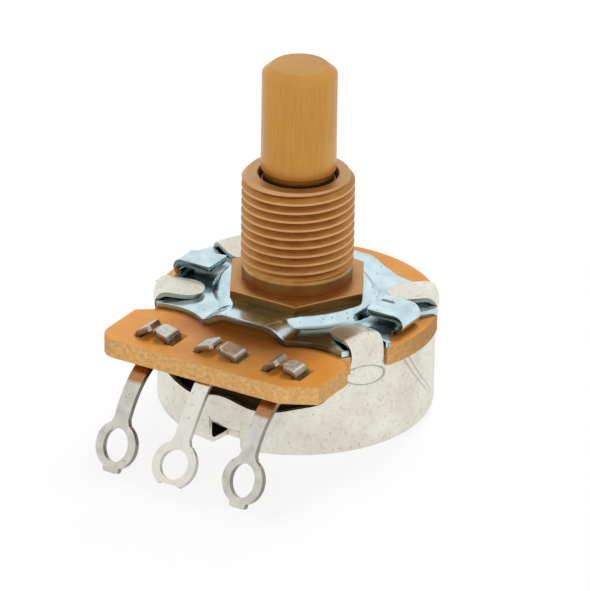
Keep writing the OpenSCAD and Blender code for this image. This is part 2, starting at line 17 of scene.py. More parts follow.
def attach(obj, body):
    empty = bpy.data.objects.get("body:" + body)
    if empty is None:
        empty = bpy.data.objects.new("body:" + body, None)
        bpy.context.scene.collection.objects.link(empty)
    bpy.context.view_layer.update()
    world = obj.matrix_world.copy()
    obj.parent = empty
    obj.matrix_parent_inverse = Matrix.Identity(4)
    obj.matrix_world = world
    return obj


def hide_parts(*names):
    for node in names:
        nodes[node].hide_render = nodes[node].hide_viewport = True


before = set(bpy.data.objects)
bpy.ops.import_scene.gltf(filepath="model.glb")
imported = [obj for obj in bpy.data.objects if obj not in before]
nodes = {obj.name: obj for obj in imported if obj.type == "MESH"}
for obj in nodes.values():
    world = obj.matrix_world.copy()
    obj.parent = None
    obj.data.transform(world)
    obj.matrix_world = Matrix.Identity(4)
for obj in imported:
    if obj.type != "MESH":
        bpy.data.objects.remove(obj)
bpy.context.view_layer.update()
MM = 0.001
scene = bpy.context.scene
scene.view_settings.view_transform = "Standard"
print("nodes", sorted(nodes))

# %% [markdown]
# The photograph was taken from far away with a long lens, a little to the
# right of the solder lugs and from above. A camera placed by an azimuth, an
# elevation and a small roll gives the same view, and two small shifts frame
# it. It is made first, because everything is judged through it.

# %% Camera
azimuth, elevation, roll = math.radians(31.0), math.radians(24.97), math.radians(0.804)
DISTANCE, LENS = 0.86176, 624.4
PHOTO_WIDTH, SHIFT_X, SHIFT_Y = 591, -2.05, -20.28
level_part = math.cos(elevation)
back = Vector((math.sin(azimuth) * level_part, -math.cos(azimuth) * level_part, math.sin(elevation)))
level = Vector((math.cos(azimuth), math.sin(azimuth), 0))
across = math.cos(roll) * level + math.sin(roll) * back.cross(level)
bpy.ops.object.camera_add(location=back * DISTANCE)
camera = bpy.context.object
camera.name = "camera"
camera.rotation_euler = Matrix((across, back.cross(across), back)).transposed().to_euler()
camera.data.sensor_width = 36
camera.data.lens = LENS
camera.data.shift_x = SHIFT_X / PHOTO_WIDTH
camera.data.shift_y = SHIFT_Y / PHOTO_WIDTH
scene.camera = camera
print("camera at", [round(c, 4) for c in camera.location])

# %% [markdown]
# Modelling by hand means: select one object, go to edit mode, select some
# faces, edges or points by where they are, and use an operator on them. These
# helpers do just that.


# %% Helpers to select and edit
def fresh():
    """Leaves edit mode with nothing selected"""
    if bpy.context.object and bpy.context.object.mode != "OBJECT":
        bpy.ops.object.mode_set(mode="OBJECT")
    bpy.ops.object.select_all(action="DESELECT")


def only(piece):
    fresh()
    piece.select_set(True)
    bpy.context.view_layer.objects.active = piece


def edit(piece, kind="VERT"):
    only(piece)
    bpy.ops.object.mode_set(mode="EDIT")
    bpy.ops.mesh.select_mode(type=kind)


def pick(test, kind):
    """In edit mode, selects the edges or faces that pass a test, and counts them"""
    bpy.ops.mesh.select_mode(type=kind)
    bpy.ops.mesh.select_all(action="DESELECT")
    work = bmesh.from_edit_mesh(bpy.context.object.data)
    found = 0
    for item in {"EDGE": work.edges, "FACE": work.faces}[kind]:
        if test(item):
            item.select_set(True)
            found += 1
    work.select_flush_mode()
    bmesh.update_edit_mesh(bpy.context.object.data)
    return found


def tidy(piece, gap):
    """Merges points closer than a gap in mm and turns all faces outwards"""
    edit(piece)
    bpy.ops.mesh.select_all(action="SELECT")
    bpy.ops.mesh.remove_doubles(threshold=gap * MM)
    bpy.ops.mesh.normals_make_consistent(inside=False)
    fresh()


def apply(piece, kind, **settings):
    """Adds a modifier with its settings and applies it"""
    only(piece)
    m = piece.modifiers.new("step", kind)
    for key, value in settings.items():
        setattr(m, key, value)
    bpy.ops.object.modifier_apply(modifier=m.name)


def smooth(piece, angle=35):
    only(piece)
    bpy.ops.object.shade_smooth_by_angle(angle=math.radians(angle))


def reshape(piece, place):
    """Moves every point of a piece by a function of its place in mm"""
    for v in piece.data.vertices:
        v.co = Vector(place(*(v.co / MM))) * MM
    piece.data.update()


def report(piece):
    size = " x ".join(f"{s:.2f}" for s in piece.dimensions / MM)
    print(piece.name, len(piece.data.polygons), "faces,", size, "mm")


# %% [markdown]
# A turned piece, such as the shaft, is a section spun round the axis. The
# section starts from a plane merged to one point, which is extruded from
# corner to corner. Spin then sweeps it once round, and the doubled seam and
# the poles are merged. Sections are written as (radius, height) in mm.

# %% Helpers for turned pieces
ROUND_STEPS = 144
SEAM = 0.0005


def section(name, points):
    """An open chain of edges through some places, left in edit mode"""
    fresh()
    bpy.ops.mesh.primitive_plane_add(size=MM)
    piece = bpy.context.object
    piece.name = name
    edit(piece)
    bpy.ops.mesh.select_all(action="SELECT")
    bpy.ops.mesh.merge(type="CENTER")
    bpy.ops.transform.translate(value=(points[0][0] * MM, 0, points[0][1] * MM))
    for (r0, z0), (r1, z1) in zip(points, points[1:]):
        move = ((r1 - r0) * MM, 0, (z1 - z0) * MM)
        bpy.ops.mesh.extrude_region_move(TRANSFORM_OT_translate={"value": move})
    return piece


def turned(name, points, steps=ROUND_STEPS):
    piece = section(name, points)
    bpy.ops.mesh.select_all(action="SELECT")
    bpy.ops.mesh.spin(steps=steps, angle=2 * math.pi, center=(0, 0, 0), axis=(0, 0, 1))
    tidy(piece, SEAM)
    return piece


# %% [markdown]
# The plate, the lugs, the can's wall and the board are all stamped from flat
# sheet. Each starts as a grid. The faces outside the outline are deleted, the
# points left along the edge are moved onto the outline, and the sheet can
# then be pressed or bent by moving its points: the even grid follows any
# curve. Solidify and a small bevel give it its thickness and soft edges last.

# %% Helpers for stamped sheets
SHARP = 25


def inside(points, outline):
    """Which points lie inside an outline, by counting the edges that each one passes"""
    px, py = points.T
    hit = np.zeros(len(points), bool)
    for (x0, y0), (x1, y1) in zip(outline, np.roll(outline, -1, 0)):
        if y0 != y1:
            beside = (py >= min(y0, y1)) & (py < max(y0, y1))
            hit ^= beside & (px < x0 + (py - y0) * (x1 - x0) / (y1 - y0))
    return hit


def nearest(points, outlines):
    """The place on the outlines nearest to each point"""
    best, place = np.full(len(points), np.inf), points.copy()
    for outline in outlines:
        for a, b in zip(outline, np.roll(outline, -1, 0)):
            d = b - a
            t = np.clip(((points - a) @ d) / max(d @ d, 1e-12), 0, 1)[:, None]
            q = a + t * d
            far = np.linalg.norm(points - q, axis=1)
            closer = far < best
            best[closer], place[closer] = far[closer], q[closer]
    return place


def corners(outline):
    """The points where an outline turns by more than SHARP degrees"""
    before, after = outline - np.roll(outline, 1, 0), np.roll(outline, -1, 0) - outline
    crossed = before[:, 0] * after[:, 1] - before[:, 1] * after[:, 0]
    turn = np.degrees(np.arctan2(crossed, (before * after).sum(1)))
    return outline[np.abs(turn) > SHARP]


def sheet(name, outline, holes, step, box=None, cells=None):
    """A flat stamped sheet in the XY plane, from an outline and holes in mm"""
    outlines = [np.array(o, float) for o in [outline, *holes]]
    low, high = (outlines[0].min(0), outlines[0].max(0)) if box is None else np.array(box, float)
    size = high - low
    nx, ny = cells or np.ceil(size / step).astype(int)
    fresh()
    bpy.ops.mesh.primitive_grid_add(x_subdivisions=int(nx), y_subdivisions=int(ny), size=MM)
    piece = bpy.context.object
    piece.name = name
    edit(piece)
    bpy.ops.mesh.select_all(action="SELECT")
    bpy.ops.transform.resize(value=(size[0], size[1], 1))
    bpy.ops.transform.translate(value=(*((low + high) / 2 * MM), 0))
    work = bmesh.from_edit_mesh(piece.data)
    middles = np.array([f.calc_center_median()[:2] for f in work.faces]) / MM
    keep = inside(middles, outlines[0])
    for hole in outlines[1:]:
        keep &= ~inside(middles, hole)
    for face, kept in zip(work.faces, keep):
        face.select_set(not kept)
    bmesh.update_edit_mesh(piece.data)
    bpy.ops.mesh.select_mode(type="FACE")
    bpy.ops.mesh.delete(type="FACE")
    work = bmesh.from_edit_mesh(piece.data)
    rim = [v for v in work.verts if v.is_boundary]
    flat = np.array([v.co[:2] for v in rim]) / MM
    place = nearest(flat, outlines)
    for o in outlines:
        for corner in corners(o):
            gap = np.linalg.norm(flat - corner, axis=1)
            if gap.min() < step * 0.9:
                place[gap.argmin()] = corner
    for v, p in zip(rim, place):
        v.co = (*(p * MM), 0)
    pinched = sum(sum(e.is_boundary for e in v.link_edges) > 2 for v in rim)
    bmesh.update_edit_mesh(piece.data)
    fresh()
    print(name, "sheet of", len(piece.data.polygons), "faces, pinched points", pinched)
    return piece


def rounded(piece, width, segments, angle=50, **settings):
    """A fine bevel on the edges sharper than an angle"""
    limit = {"limit_method": "ANGLE", "angle_limit": math.radians(angle)}
    apply(piece, "BEVEL", width=width * MM, segments=segments, **limit, **settings)


def thicken(piece, thickness, rounding, segments=2):
    apply(piece, "SOLIDIFY", thickness=thickness * MM, offset=0, use_even_offset=True)
    tidy(piece, 0.001)
    rounded(piece, rounding, segments, use_clamp_overlap=True)
    smooth(piece)


def polar(r, degrees):
    """The place at a radius and an angle"""
    a = math.radians(degrees)
    return r * math.cos(a), r * math.sin(a)


def arc(cx, cy, r, a0, a1, n):
    """Points along an arc in n steps, with angles in degrees"""
    spokes = [polar(r, a0 + (a1 - a0) * i / n) for i in range(n + 1)]
    return [(cx + x, cy + y) for x, y in spokes]


def circle(cx, cy, r, n):
    return arc(cx, cy, r, 0, 360, n)[:-1]


def ease(t):
    """0 below 0, 1 above 1 and a soft step between"""
    t = min(max(t, 0), 1)
    return t * t * (3 - 2 * t)


def mirrored(quarter):
    """A closed outline from its first quarter, which runs from the X axis to the Y axis"""
    right = quarter + [(-x, y) for x, y in reversed(quarter)]
    return right + [(x, -y) for x, y in reversed(right)]


# %% [markdown]
# Shader maths reads best as plain sums. Wire wraps a socket, so that
# 1 - mask or rings * 0.5 adds the Math node that it stands for, and
# a | b is the greater of two masks. Any other node comes from Finish.node,
# which takes its type, its settings and its sockets.


# %% Wires and finishes
class Wire:
    def __init__(self, tree, socket):
        self.tree, self.socket = tree, socket

    def math(self, operation, *others):
        n = self.tree.nodes.new("ShaderNodeMath")
        n.operation = operation
        for slot, value in zip(n.inputs, others):
            if isinstance(value, Wire):
                self.tree.links.new(value.socket, slot)
            else:
                slot.default_value = value
        return Wire(self.tree, n.outputs[0])

    def __add__(self, other):
        return self.math("ADD", self, other)

    def __mul__(self, other):
        return self.math("MULTIPLY", self, other)

    def __sub__(self, other):
        return self.math("SUBTRACT", self, other)

    def __rsub__(self, other):
        return self.math("SUBTRACT", other, self)

    def __truediv__(self, other):
        return self.math("DIVIDE", self, other)

    def __pow__(self, other):
        return self.math("POWER", self, other)

    def __or__(self, other):
        return self.math("MAXIMUM", self, other)

    def __abs__(self):
        return self.math("ABSOLUTE", self)

    def __neg__(self):
        return self * -1

    __radd__, __rmul__ = __add__, __mul__

    def clamped(self):
        n = self.math("ADD", self, 0)
        n.socket.node.use_clamp = True
        return n

    def between(self, low, high):
        """0 where the value is low, 1 where it is high"""
        return ((self - low) / (high - low)).clamped()

    def band(self, low, on, off, high):
        """1 from on to off, and 0 below low and above high"""
        return self.between(low, on) * (1 - self.between(off, high))


class Finish:
    def __init__(self, name, **constants):
        self.material = bpy.data.materials.new(name)
        self.material.use_nodes = True
        self.tree = self.material.node_tree
        self.shader = self.tree.nodes["Principled BSDF"]
        for key, value in constants.items():
            self.shader.inputs[key.replace("_", " ")].default_value = value
        self.place = self.node("ShaderNodeTexCoord", output="Object")

    def node(self, kind, settings=(), sockets=(), output=0):
        n = self.tree.nodes.new(kind)
        for key, value in dict(settings).items():
            setattr(n, key, value)
        for key, value in dict(sockets).items():
            if isinstance(value, Wire):
                self.tree.links.new(value.socket, n.inputs[key])
            else:
                n.inputs[key].default_value = value
        return Wire(self.tree, n.outputs[output])

    def parts(self, vector):
        split = self.node("ShaderNodeSeparateXYZ", sockets={0: vector})
        return [Wire(self.tree, split.socket.node.outputs[i]) for i in range(3)]

    def axes(self):
        """The place on the object, in mm"""
        return [part / MM for part in self.parts(self.place)]

    def facing(self):
        """The way that the flat face looks, without smoothing or bump"""
        return self.parts(self.node("ShaderNodeNewGeometry", output="True Normal"))

    def stretched(self, x, y, z):
        return self.node("ShaderNodeMapping", sockets={"Vector": self.place, "Scale": (x, y, z)})

    def noise(self, scale, detail=3, rough=0.5, place=None):
        settings = {"Scale": scale, "Detail": detail, "Roughness": rough}
        return self.node("ShaderNodeTexNoise", sockets={"Vector": place or self.place, **settings})

    def cells(self, scale):
        sockets = {"Vector": self.place, "Scale": scale}
        return self.node("ShaderNodeTexVoronoi", sockets=sockets, output="Distance")

    def blend(self, factor, a, b):
        """Goes from one colour or blend to another by a factor"""
        a, b = [(*c, 1) if isinstance(c, tuple) else c for c in (a, b)]
        return self.node("ShaderNodeMix", {"data_type": "RGBA"}, {0: factor, 6: a, 7: b}, output=2)

    def feed(self, **sockets):
        for key, value in sockets.items():
            self.tree.links.new(value.socket, self.shader.inputs[key.replace("_", " ")])

    def bump(self, height, depth):
        """Relief with a depth in mm"""
        sockets = {"Height": height, "Distance": depth * MM, "Strength": 1.0}
        self.feed(Normal=self.node("ShaderNodeBump", sockets=sockets))


def dress(piece, finish, body, slot, *replaced):
    """Gives a new piece its finish and its body; its slot is not used"""
    piece.data.materials.clear()
    piece.data.materials.append(finish.material)
    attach(piece, body)
    if replaced:
        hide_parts(*replaced)
    report(piece)


# %% [markdown]
# Brass rod is drawn, then turned. Drawing leaves fine scratches along the
# shaft, so the noise is stretched along Z, and the undercut at the bushing's
# mouth gets painted shade. On the bushing the thread's crests, the mouth, the
# lip over the land and the hexagon's top get painted highlights, and its roots,
# the land, the hexagon's flats and the bore get painted shade.

# %% Brass finishes
shaft_brass = Finish("shaft_brass", Metallic=1.0, Roughness=0.3)
scratches = shaft_brass.noise(9000, 4, 0.6, shaft_brass.stretched(1, 1, 0.03))
clouds = shaft_brass.noise(260, 3, 0.5, shaft_brass.stretched(1, 1, 0.4))
x, y, z = shaft_brass.axes()
# Painted shade in the undercut groove at the bushing's mouth
undercut_shade = (1 - ((x * x + y * y) ** 0.5).between(2.98, 3.1)) * (1 - z.between(9.5, 9.9))
tint = shaft_brass.blend(clouds.between(0.35, 0.7), (0.56, 0.275, 0.06), (0.66, 0.345, 0.085))
tint = shaft_brass.blend(scratches.between(0.35, 0.62) * 0.35, tint, (0.38, 0.20, 0.055))
shaft_brass.feed(
    Base_Color=shaft_brass.blend(undercut_shade * 0.9, tint, (0.06, 0.02, 0.005)),
    Roughness=0.26 + 0.16 * scratches + 0.5 * undercut_shade)
shaft_brass.bump(scratches, 0.01)

bushing_brass = Finish("bushing_brass", Metallic=1.0, Roughness=0.35)
grime = bushing_brass.noise(900, 4, 0.6)
x, y, z = bushing_brass.axes()
radius = (x * x + y * y) ** 0.5
# Painted highlights on the thread's crests, the lip, the mouth and the hexagon's top
crest_highlight = radius.between(4.735, 4.755) * z.between(1.6, 1.8)
lip_highlight = z.band(1.17, 1.24, 1.42, 1.5)
mouth_highlight = z.between(9.1, 9.3)
hex_top_highlight = z.band(-0.12, -0.05, 0.01, 0.05) * radius.between(4.75, 5.5)
# Painted shade in the thread's roots, on the hexagon's flats, the land and the bore
root = 1 - radius.between(4.25, 4.7)
flats_shade = (1 - abs(bushing_brass.facing()[2]).between(0.3, 0.7)) * radius.between(4.95, 5.05)
land = z.band(0.02, 0.1, 1.1, 1.2)
bore_shade = 1 - radius.between(3.33, 3.55)
painted_highlights = crest_highlight * 0.6 | lip_highlight * 0.5 | mouth_highlight * 0.6 | hex_top_highlight * 0.3
painted_shades = flats_shade * 0.85 | root * 0.2 | land * 0.6 | bore_shade * 0.9
tone = bushing_brass.blend(grime.between(0.3, 0.7), (0.385, 0.17, 0.042), (0.505, 0.243, 0.07))
tone = bushing_brass.blend(painted_highlights, tone, (0.80, 0.50, 0.24))
bushing_brass.feed(
    Base_Color=bushing_brass.blend(painted_shades, tone, (0.11, 0.05, 0.012)),
    Roughness=0.34 + 0.2 * grime + 0.45 * bore_shade)
bushing_brass.bump(grime, 0.01)
print("brass finishes with", len(shaft_brass.tree.nodes), "and", len(bushing_brass.tree.nodes), "nodes")

# %% [markdown]
# The plate is blue zinc, with painted shade where the can's tabs and its own
# folds press on it, darkened along its cut edges, and a painted olive
# reflection on its low front right part.
# The can is dull tin with a speckled skin. It has a dent and two creases,
# which the bending of the tabs left beside them, and the same two functions
# place painted shade lines along them here and press their shapes into the
# wall later on. The tabs' undersides get painted shade too.
# The lugs are dipped tin, which is softer and greyer, brown where they leave
# the board and dark on their sheared sides.

# %% Plated finishes
zinc = Finish("zinc", Metallic=1.0, Roughness=0.15)
pools, specks = zinc.noise(420, 2, 0.5), zinc.cells(1500)
x, y, z = zinc.axes()
nx, ny, nz = zinc.facing()
ax, ay = abs(x), abs(y)
along, beside = ax * 0.866 + ay * 0.5, abs(ay * 0.866 - ax * 0.5)
# Painted reflection: olive on the plate's low front right part
painted_olive_reflection = x.between(2.2, 3.2) * (1 - y.between(-3.5, -2))
painted_olive_reflection = painted_olive_reflection * (1 - z.between(-1.7, -1.5)) * (1 - along.between(10.3, 10.7))
# Painted shade under the can's tabs and under the folded tongues
under_tab_shade = along.between(7.7, 9.0) * (1 - beside.between(1.3, 1.9)) * (0.8 - y.between(0, 2) * 0.35)
under_fold_shade = ax.band(7.3, 8.1, 10.6, 10.85) * (1 - ay.between(1.35, 2.0)) * (1 - z.between(-0.95, -0.75))
folds = z.between(-1.7, -1.5) * ax.between(7, 7.2)
ends = abs(nx).between(0.75, 0.95) * (1 - ax.between(9.5, 10)) * 0.6
sides = abs(ny).between(0.75, 0.95) * (0.5 + 0.3 * folds)
mark = x.band(7.95, 8.05, 9.15, 9.25) * y.band(0.3, 0.4, 0.7, 0.8) * z.between(-0.8, -0.7)
painted_shade_and_marks = under_tab_shade | under_fold_shade * 0.95 | sides | ends * folds | mark * 0.8
tint = zinc.blend(pools.between(0.35, 0.65), (0.47, 0.63, 0.69), (0.66, 0.83, 0.88))
tint = zinc.blend((1 - specks.between(0.09, 0.15)) * 0.7, tint, (0.08, 0.11, 0.12))
tint = zinc.blend(painted_olive_reflection * 0.8, tint, (0.15, 0.13, 0.055))
zinc.feed(Base_Color=zinc.blend(painted_shade_and_marks, tint, (0.035, 0.05, 0.045)), Roughness=0.1 + 0.12 * pools)
zinc.bump(zinc.noise(1500, 3), 0.012)


def dent(a, z):
    """1 on the rim of the oval dent, at an angle from the front and a height, and less inside it"""
    wide, high = (a - 60.8) / 9.6, (z + 4.38 + (a - 60.8) * 0.02) / 0.88
    return (wide ** 2.0 + high ** 2.0) ** 0.5


def crease(a, z, start):
    """How far a place lies beside a crease in degrees, and below the crease's top in mm"""
    fall = -4.27 - z
    return a - (start + fall * 3.3 + fall * fall * 0.26), fall


CREASES = 82.2, 85.4
tin = Finish("tin", Metallic=1.0, Roughness=0.25)
grain, patches = tin.noise(2600, 4, 0.6), tin.noise(240, 3, 0.6)
x, y, z = tin.axes()
nx, ny, nz = tin.facing()
from_front = x.math("ARCTAN2", x, -y) * (180 / math.pi)
# Painted shade along the dent's rim and along the creases
painted_crease_shade = 1 - abs(dent(from_front, z) - 1).between(0.01, 0.1)
for start in CREASES:
    beside, fall = crease(from_front, z, start)
    shown = (1 - fall.between(3.6, 5.4)) * fall.between(-0.6, -0.2)
    painted_crease_shade = painted_crease_shade | (1 - abs(beside).between(0.1, 0.7)) * 0.75 * shown
scuff = 1 - abs(tin.noise(330, 2, 0.4) - 0.5).between(0.0015, 0.006)
scuff = scuff * patches.between(0.54, 0.6)
pits = 1 - tin.cells(1100).between(0.05, 0.1)
outward = (nx * x + ny * y) / (x * x + y * y) ** 0.5
cut = (1 - abs(nz).between(0.25, 0.6)) * (1 - outward.between(0.2, 0.6)) * z.between(-3.9, -3.6)
# Painted shade on the undersides of the tabs
under = (-nz).between(0.2, 0.7) * z.between(-3.5, -3)
painted_shade_and_marks = painted_crease_shade * 0.6 | scuff * 0.22 | pits * 0.6 | under * 0.85 | cut * 0.45
tint = tin.blend(patches.between(0.35, 0.7), (0.70, 0.675, 0.58), (0.84, 0.82, 0.73))
tint = tin.blend(grain.between(0.52, 0.78) * 0.45, tint, (0.30, 0.29, 0.25))
tin.feed(Base_Color=tin.blend(painted_shade_and_marks, tint, (0.10, 0.095, 0.08)), Roughness=0.27 + 0.14 * grain)
tin.bump(grain * 0.5 - painted_shade_and_marks * 0.8, 0.025)

lug_tin = Finish("lug_tin", Metallic=1.0, Roughness=0.33)
dents, pits = lug_tin.noise(900, 3, 0.5), lug_tin.cells(1500)
x, y, z = lug_tin.axes()
nx, ny, nz = lug_tin.facing()
outer = abs(x).between(2.5, 3.5)
stained = z.band(-5.35, -5.1, -3.9, -3.7) * outer
prongs = z.between(-2.35, -2.25) * (nx.between(0.4, 0.8) | (-ny).between(0.6, 0.9))
sheared = abs(nx).between(0.45, 0.8) * (1 - z.between(-4.6, -4.4))
tint = lug_tin.blend(dents.between(0.3, 0.7), (0.50, 0.485, 0.43), (0.68, 0.665, 0.60))
tint = lug_tin.blend((1 - outer) * 0.55, tint, (0.86, 0.84, 0.76))
tint = lug_tin.blend(stained * 0.9, tint, (0.40, 0.16, 0.035))
tint = lug_tin.blend(prongs * 0.7, tint, (0.13, 0.075, 0.035))
tint = lug_tin.blend(sheared * (0.35 + 0.35 * outer), tint, (0.13, 0.12, 0.10))
tint = lug_tin.blend((1 - pits.between(0.08, 0.16)) * 0.55, tint, (0.16, 0.15, 0.13))
lug_tin.feed(Base_Color=tint, Roughness=0.2 + 0.2 * dents)
lug_tin.bump(dents, 0.08)
print("plated finishes with", [len(f.tree.nodes) for f in (zinc, tin, lug_tin)], "nodes")

# %% [markdown]
# Phenolic board is paper soaked in resin. Its faces are smooth and amber,
# with a painted shadow in front of the plate's bridge and painted shade beside
# its right fold. Where the die cut it, the edge shows torn layers: paler and
# speckled, with a dark arris, and painted shade on its right part. The face's
# normal says which part is an edge.

# %% Board and inner finishes
phenolic = Finish("phenolic", Roughness=0.4, Specular_IOR_Level=0.2)
layers = phenolic.noise(2300, 4, 0.75, phenolic.stretched(1, 1, 1.4))
mottle = phenolic.noise(330, 4, 0.6)
x, y, z = phenolic.axes()
upright = abs(phenolic.facing()[2])
edge = 1 - upright.between(0.4, 0.8)
arris = upright.band(0.3, 0.45, 0.9, 0.97)
# Painted shadow in front of the plate's bridge, and painted shade beside its right fold
painted_shadow_front = y.band(-11.6, -9.2, -8, -7) * (1 - abs(x).between(5, 8))
painted_shade_right = x.band(8.5, 10, 10.6, 11.9) * y.between(-3, 0)
face = phenolic.blend(mottle.between(0.3, 0.7), (0.60, 0.235, 0.038), (0.70, 0.30, 0.06))
face = phenolic.blend(painted_shadow_front * 0.6, face, (0.26, 0.05, 0.008))
face = phenolic.blend(painted_shade_right * 0.75, face, (0.30, 0.10, 0.018))
torn = phenolic.blend(layers.between(0.3, 0.7), (0.54, 0.27, 0.075), (0.82, 0.50, 0.20))
# Painted shade on the right part of the torn edge
torn = phenolic.blend(x.between(8, 11.5) * y.between(-5, 0) * 0.5, torn, (0.36, 0.15, 0.035))
tone = phenolic.blend(arris * 0.6, phenolic.blend(edge, face, torn), (0.22, 0.07, 0.015))
phenolic.feed(Base_Color=tone, Roughness=0.3 + 0.45 * edge)
phenolic.bump(layers * edge + 0.1 * mottle, 0.05)

carbon = Finish("carbon", Roughness=0.5)
soot = carbon.noise(1800, 4)
carbon.feed(Base_Color=carbon.blend(soot, (0.012, 0.011, 0.011), (0.035, 0.032, 0.03)))
carbon.bump(soot, 0.01)

moulding = Finish("moulding", Roughness=0.45)
flow = moulding.noise(700, 4)
moulding.feed(
    Base_Color=moulding.blend(flow, (0.045, 0.022, 0.012), (0.075, 0.04, 0.022)),
    Roughness=0.35 + 0.2 * flow)
moulding.bump(flow, 0.02)

bronze = Finish("bronze", Metallic=1.0, Roughness=0.3)
rolled = bronze.noise(1500, 3, 0.5, bronze.stretched(0.1, 1, 1))
bronze.feed(
    Base_Color=bronze.blend(rolled, (0.52, 0.26, 0.10), (0.66, 0.37, 0.16)),
    Roughness=0.22 + 0.2 * rolled)

spring_steel = Finish("spring_steel", Metallic=1.0, Roughness=0.3)
ground = spring_steel.noise(2000, 3)
spring_steel.feed(
    Base_Color=spring_steel.blend(ground, (0.24, 0.245, 0.25), (0.36, 0.365, 0.37)),
    Roughness=0.25 + 0.2 * ground)

INNER = {
    "resistance_element": carbon, "rotor": moulding, "contact_spring": bronze,
    "thrust_washer": bronze, "retaining_ring": spring_steel}
for node, finish in INNER.items():
    for place in nodes[node].material_slots:
        place.material = finish.material
    print(node, "wears", finish.material.name)

# %% [markdown]
# The shaft is one turned rod. Its sharp edges are broken by a tool, so its
# section gets a fine bevel. Inside the rotor's hub two flats are pressed on
# it, which are made by moving the points that stand outside them.

# %% Shaft
FLAT_Y, DRIVE_R, DRIVE_TOP, DRIVE_END = 1.95, 2.4, -5.67, -8.67
shaft = turned("shaft_rod", [
    (0, 19.35), (2.375, 19.35), (3.175, 18.65), (3.175, 10.025), (2.955, 10.025),
    (2.955, 9.025), (3.175, 9.025), (3.175, -2.2), (2.575, -2.2), (2.575, -2.8),
    (3.175, -2.8), (3.175, DRIVE_TOP), (DRIVE_R, DRIVE_TOP), (DRIVE_R, DRIVE_END),
    (2.9, DRIVE_END), (2.9, -9.12), (0, -9.12)])


def flatted(x, y, z):
    if DRIVE_END - 0.01 < z < DRIVE_TOP + 0.01 and math.hypot(x, y) < DRIVE_R + 0.05:
        y = max(min(y, FLAT_Y), -FLAT_Y)
    return x, y, z


reshape(shaft, flatted)
rounded(shaft, 0.07, 3, 25)
smooth(shaft)
dress(shaft, shaft_brass, "turning_shaft", "shaft_brass", "shaft")

# %% [markdown]
# The bushing's thread is 32 turns to the inch. One turn's section goes through
# a Screw modifier. Its two ends are then pressed flat onto the land below and
# the face above, and every point outside the chamfered envelope is pulled in.

# %% Bushing thread
PITCH, PHASE, TURNS = 0.79375, 1.806, 13
LAND_TOP, LAND_R, MOUTH, MAJOR_R, CHAMFER, RUN_IN = 1.45, 4.68, 9.525, 4.7625, 0.42, 0.55
thread = section("bushing_thread", [
    (4.77, 0), (4.77, 0.09), (4.40, 0.34), (4.36, 0.40), (4.40, 0.46), (4.77, 0.70), (4.77, PITCH)])
fresh()
reshape(thread, lambda x, y, z: (x, y, z + LAND_TOP - PITCH * PHASE))
apply(
    thread, "SCREW", angle=2 * math.pi, screw_offset=PITCH * MM, iterations=TURNS, axis="Z",
    steps=ROUND_STEPS, render_steps=ROUND_STEPS, use_merge_vertices=True, merge_threshold=1e-7)


def trim(x, y, z):
    r, a = math.hypot(x, y), math.atan2(y, x)
    z = min(max(z, LAND_TOP), MOUTH)
    r = LAND_R + (r - LAND_R) * ease((z - LAND_TOP) / RUN_IN)
    r = min(r, MAJOR_R - CHAMFER * max(0, (z - MOUTH + CHAMFER) / CHAMFER))
    return r * math.cos(a), r * math.sin(a), z


reshape(thread, trim)
tidy(thread, SEAM)
report(thread)

# %% [markdown]
# The ring of edges under the thread is extruded from step to step: down the
# land and the riveted spigot, up the bore and out to the mouth, where it
# meets the thread again. A hexagon, cut to a chamfered disc, is joined to it.

# %% Bushing body
HEX_ACROSS, HEX_HIGH, BORE_R = 11.11, 0.85, 3.215


def ring_steps(points, r):
    """Extrudes the selected ring round the Z axis from radius r through (radius, height) places"""
    work = bmesh.from_edit_mesh(bpy.context.object.data)
    z = next(v.co.z for v in work.verts if v.select) / MM
    for r1, z1 in points:
        up = (0, 0, (z1 - z) * MM)
        bpy.ops.mesh.extrude_region_move(TRANSFORM_OT_translate={"value": up})
        bpy.ops.transform.resize(value=(r1 / r, r1 / r, 1), center_override=(0, 0, 0))
        r, z = r1, z1


def under_thread(edge):
    return edge.is_boundary and abs(edge.verts[0].co.z / MM - LAND_TOP) < 0.01


edit(thread, "EDGE")
print("ring under the thread", pick(under_thread, "EDGE"))
ring_steps([
    (LAND_R, 0.3), (4.6, -0.4), (4.2, -0.4), (4.2, -1.4), (4.95, -1.42), (4.88, -1.8),
    (4.6, -1.85), (3.25, -1.85), (BORE_R, -1.8), (BORE_R, 9.28), (3.26, 9.35),
    (3.435, MOUTH), (MAJOR_R - CHAMFER, MOUTH)], LAND_R)
tidy(thread, 0.001)
fresh()
bpy.ops.mesh.primitive_cylinder_add(
    vertices=6, radius=HEX_ACROSS / math.sqrt(3) * MM, depth=HEX_HIGH * MM,
    location=(0, 0, -HEX_HIGH / 2 * MM), rotation=(0, 0, math.radians(30)))
hexagon = bpy.context.object
bpy.ops.object.transform_apply()
cone = turned("cone", [
    (0, -HEX_HIGH), (6.3, -HEX_HIGH), (6.46, -0.7), (6.46, -0.14), (6.1, 0.0), (0, 0.0)])
rounded(hexagon, 0.12, 3, affect="EDGES")
apply(hexagon, "BOOLEAN", operation="INTERSECT", object=cone, solver="EXACT")
apply(thread, "BOOLEAN", operation="UNION", object=hexagon, solver="EXACT")
for spare in (cone, hexagon):
    bpy.data.objects.remove(spare)
tidy(thread, SEAM)
smooth(thread, 30)
dress(thread, bushing_brass, "housing", "bushing_brass", "bushing")

# %% [markdown]
# The mounting plate is one pressed sheet. Its outline has four ears with
# slots for the can's tabs, four hollows, two bridges' ends, and a tongue on
# each side that is folded back on top. The centre and the bridges are drawn
# up, and a drawn sheet never has a sharp step, so they rise by a soft curve.
# The photographed plate isn't quite even: one slot is turned by 2 degrees,
# one ear is wider and both tongues lie askew.

